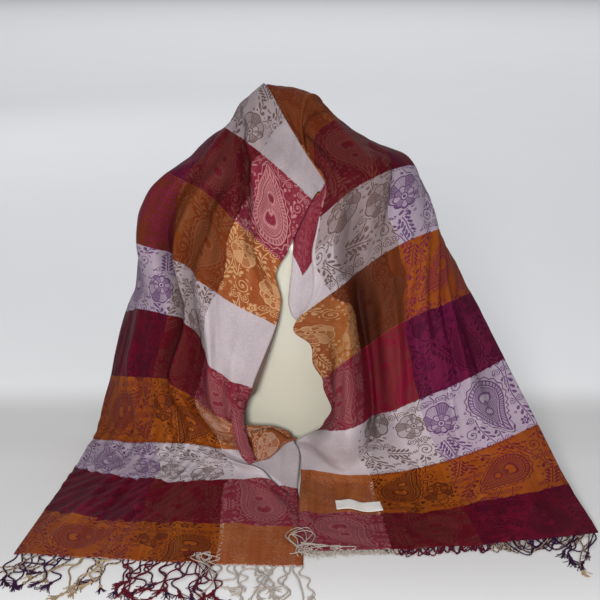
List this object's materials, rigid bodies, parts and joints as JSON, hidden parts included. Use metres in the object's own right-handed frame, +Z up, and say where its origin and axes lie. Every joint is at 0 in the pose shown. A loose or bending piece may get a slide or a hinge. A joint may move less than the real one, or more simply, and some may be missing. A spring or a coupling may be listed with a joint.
{
  "type": "pashmina shawl on a limbless bust form",
  "caption": "Long fringed woven shawl, folded lengthwise, draped over a smooth limbless bust form with both ends spread on the surface in front.",
  "frame": {"origin": "on the surface that the form stands on, at the middle of the whole object's box", "axes": "+Z up, the opening of the shawl faces -Y, +X to the right as seen from the front"},
  "size_m": [0.7654, 0.584, 0.541],
  "materials": {
    "form": "glossy cream moulding",
    "shawl": "silky jacquard weave in orange, burgundy and pale lavender bands",
    "fringe": "twisted silky cords with knotted tassels",
    "label": "plain white woven tape"
  },
  "bodies": {
    "root": {"bust_form": "form", "shawl_left_fall": "shawl", "shawl_right_fall": "shawl", "shawl_right_underlayer": "shawl", "label": "label", "fringe_left": "fringe", "fringe_right": "fringe"}
  },
  "joints": []
}
